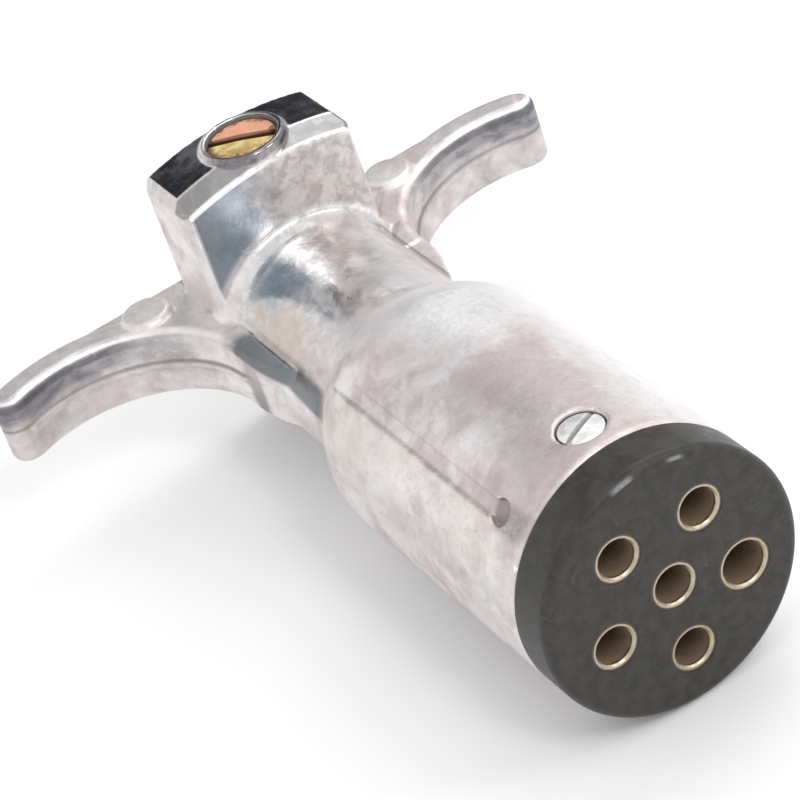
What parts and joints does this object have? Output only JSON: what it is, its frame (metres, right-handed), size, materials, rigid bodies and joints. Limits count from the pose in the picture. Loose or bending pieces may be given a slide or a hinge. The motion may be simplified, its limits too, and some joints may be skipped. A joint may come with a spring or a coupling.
{
  "type": "trailer wiring connector",
  "caption": "Round-pin trailer wiring plug with a die-cast barrel shell, curved finger wings, black socket insert and a screw cable clamp.",
  "frame": {"origin": "centre of the mating face", "axes": "+Y runs back along the plug from the mating face to the cable, +X points to the right wing seen from the front, +Z points to the side with the retaining screw and the clamp screw"},
  "size_m": [0.0876, 0.1, 0.044],
  "materials": {
    "zinc": "satin",
    "black_moulding": "matte",
    "brass": "polished",
    "copper_brass": "polished",
    "plated_steel": "satin",
    "rubber": "matte",
    "insulating_paper": "matte"
  },
  "bodies": {
    "plug": {"shell": "zinc", "insert": "black_moulding", "contact_top_right": "brass", "contact_top_left": "brass", "contact_left": "brass", "contact_bottom": "brass", "contact_ground": "brass", "contact_centre": "brass", "threaded_bush": "brass", "insulating_sleeve": "insulating_paper", "cable_bushing": "rubber", "bushing_washer": "plated_steel"},
    "clamp_saddle": {"clamp_saddle": "plated_steel"},
    "clamp_screw": {"clamp_screw": "copper_brass"},
    "lock_washer": {"lock_washer": "plated_steel"},
    "retaining_screw": {"retaining_screw": "plated_steel"},
    "terminal_screw_top_right": {"terminal_screw_top_right": "plated_steel"},
    "terminal_screw_top_left": {"terminal_screw_top_left": "plated_steel"},
    "terminal_screw_left": {"terminal_screw_left": "plated_steel"},
    "terminal_screw_bottom": {"terminal_screw_bottom": "plated_steel"},
    "terminal_screw_ground": {"terminal_screw_ground": "plated_steel"},
    "terminal_screw_centre": {"terminal_screw_centre": "plated_steel"}
  },
  "joints": [
    {"name": "clamp_saddle_travel", "type": "slide", "parent": "plug", "child": "clamp_saddle", "axis": [0, 0, 1], "range_m": [-0.004, 0]},
    {"name": "clamp_screw_turn", "type": "hinge", "parent": "clamp_saddle", "child": "clamp_screw", "pos_m": [0, 0.09, 0.02], "axis": [0, 0, 1], "range_deg": [-961, 0]},
    {"name": "lock_washer_lift", "type": "slide", "parent": "plug", "child": "lock_washer", "axis": [0, 0, 1], "range_m": [0, 0.004]},
    {"name": "retaining_screw_turn", "type": "hinge", "parent": "lock_washer", "child": "retaining_screw", "pos_m": [0, 0.0119, 0.0165], "axis": [0, 0, 1], "range_deg": [0, 1801]},
    {"name": "terminal_screw_top_right_turn", "type": "hinge", "parent": "plug", "child": "terminal_screw_top_right", "pos_m": [0.00729, 0.034, 0.01003], "axis": [0.5878, 0, 0.809], "range_deg": [0, 720]},
    {"name": "terminal_screw_top_left_turn", "type": "hinge", "parent": "plug", "child": "terminal_screw_top_left", "pos_m": [-0.00729, 0.034, 0.01003], "axis": [-0.5878, 0, 0.809], "range_deg": [0, 720]},
    {"name": "terminal_screw_left_turn", "type": "hinge", "parent": "plug", "child": "terminal_screw_left", "pos_m": [-0.01179, 0.034, -0.00383], "axis": [-0.9511, 0, -0.309], "range_deg": [0, 720]},
    {"name": "terminal_screw_bottom_turn", "type": "hinge", "parent": "plug", "child": "terminal_screw_bottom", "pos_m": [0, 0.034, -0.0124], "axis": [0, 0, -1], "range_deg": [0, 720]},
    {"name": "terminal_screw_ground_turn", "type": "hinge", "parent": "plug", "child": "terminal_screw_ground", "pos_m": [0.01198, 0.034, -0.00389], "axis": [0.9511, 0, -0.309], "range_deg": [0, 720]},
    {"name": "terminal_screw_centre_turn", "type": "hinge", "parent": "plug", "child": "terminal_screw_centre", "pos_m": [0, 0.043, 0.0027], "axis": [0, 0, 1], "range_deg": [0, 720]}
  ],
  "couplings": [
    {"joint": "clamp_screw_turn", "follows": "clamp_saddle_travel", "rad_per_m": 4188.8},
    {"joint": "retaining_screw_turn", "follows": "lock_washer_lift", "rad_per_m": 7854}
  ]
}
